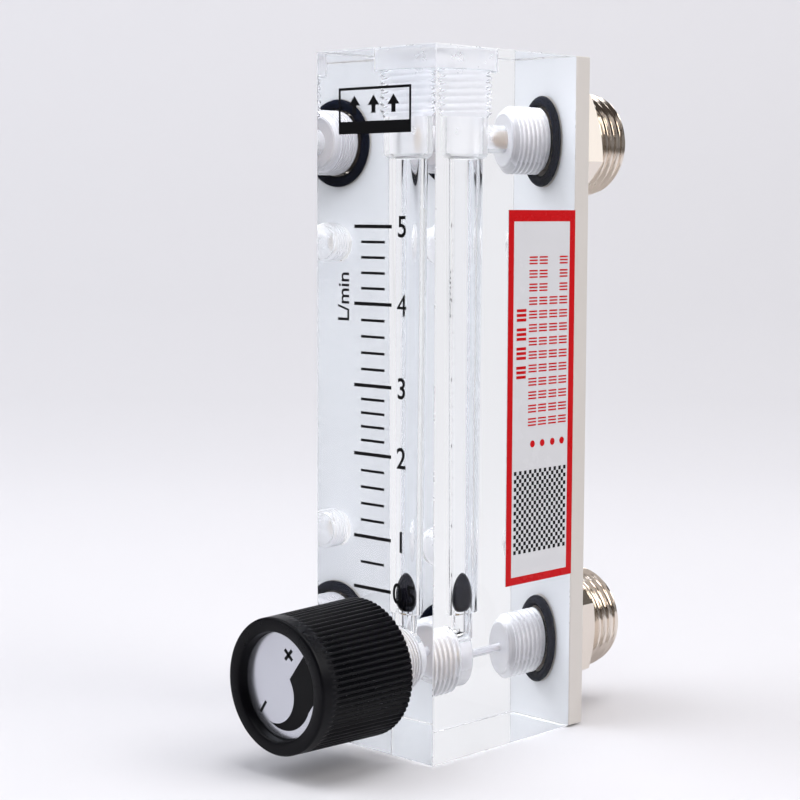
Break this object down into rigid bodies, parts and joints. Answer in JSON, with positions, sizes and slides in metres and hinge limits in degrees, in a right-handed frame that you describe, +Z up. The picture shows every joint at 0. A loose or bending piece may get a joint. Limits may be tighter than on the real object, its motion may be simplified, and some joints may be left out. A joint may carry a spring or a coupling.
{
  "type": "rotameter",
  "caption": "Clear block flow meter for a panel, with a tapered bore and float, a printed scale, a needle valve knob in front and threaded hose fittings behind.",
  "frame": {"origin": "middle of the clear block's base", "axes": "+Z up along the metering bore, +Y towards the hose fittings, -Y towards the knob, +X towards the labelled side"},
  "size_m": [0.0236, 0.0665, 0.1],
  "materials": {
    "clear_acrylic": "clear, polished outside and in the bore, frosted where drilled or tapped",
    "ivory_plastic": "satin ivory plastic",
    "nickel_plate": "nickel-plated brass, bright turned",
    "plain_brass": "turned brass",
    "seal_rubber": "black nitrile rubber",
    "clear_silicone": "translucent silicone",
    "white_ptfe": "white PTFE",
    "float_grey": "dark grey, smooth",
    "knob_black": "black moulded plastic",
    "dial_grey": "pale grey disc with a printed arrow",
    "spring_steel": "steel",
    "label_film": "white film sticker with a red border"
  },
  "bodies": {
    "meter": {"body_block": "clear_acrylic", "back_plate": "ivory_plastic", "outlet_fitting": "nickel_plate", "inlet_fitting": "nickel_plate", "outlet_seal": "seal_rubber", "inlet_seal": "seal_rubber", "top_plug": "clear_acrylic", "top_plug_seal": "clear_silicone", "valve_bonnet": "plain_brass", "bonnet_washer": "white_ptfe", "stem_circlip": "spring_steel", "side_label": "label_film"},
    "float": {"float": "float_grey"},
    "valve_lift": {"stem_seal": "seal_rubber"},
    "valve": {"valve_stem": "plain_brass", "valve_knob": "knob_black", "knob_insert": "plain_brass", "knob_screw": "spring_steel", "knob_washer": "spring_steel", "knob_dial": "dial_grey"}
  },
  "joints": [
    {"name": "float_rise", "type": "slide", "parent": "meter", "child": "float", "axis": [0, 0, 1], "range_m": [0, 0.064]},
    {"name": "valve_travel", "type": "slide", "parent": "meter", "child": "valve_lift", "axis": [0, -1, 0], "range_m": [0, 0.003]},
    {"name": "valve_turn", "type": "hinge", "parent": "valve_lift", "child": "valve", "pos_m": [0, -0.025, 0.0127], "axis": [0, -1, 0], "range_deg": [0, 1442]}
  ],
  "couplings": [
    {"joint": "valve_turn", "follows": "valve_travel", "rad_per_m": 8377.6}
  ]
}
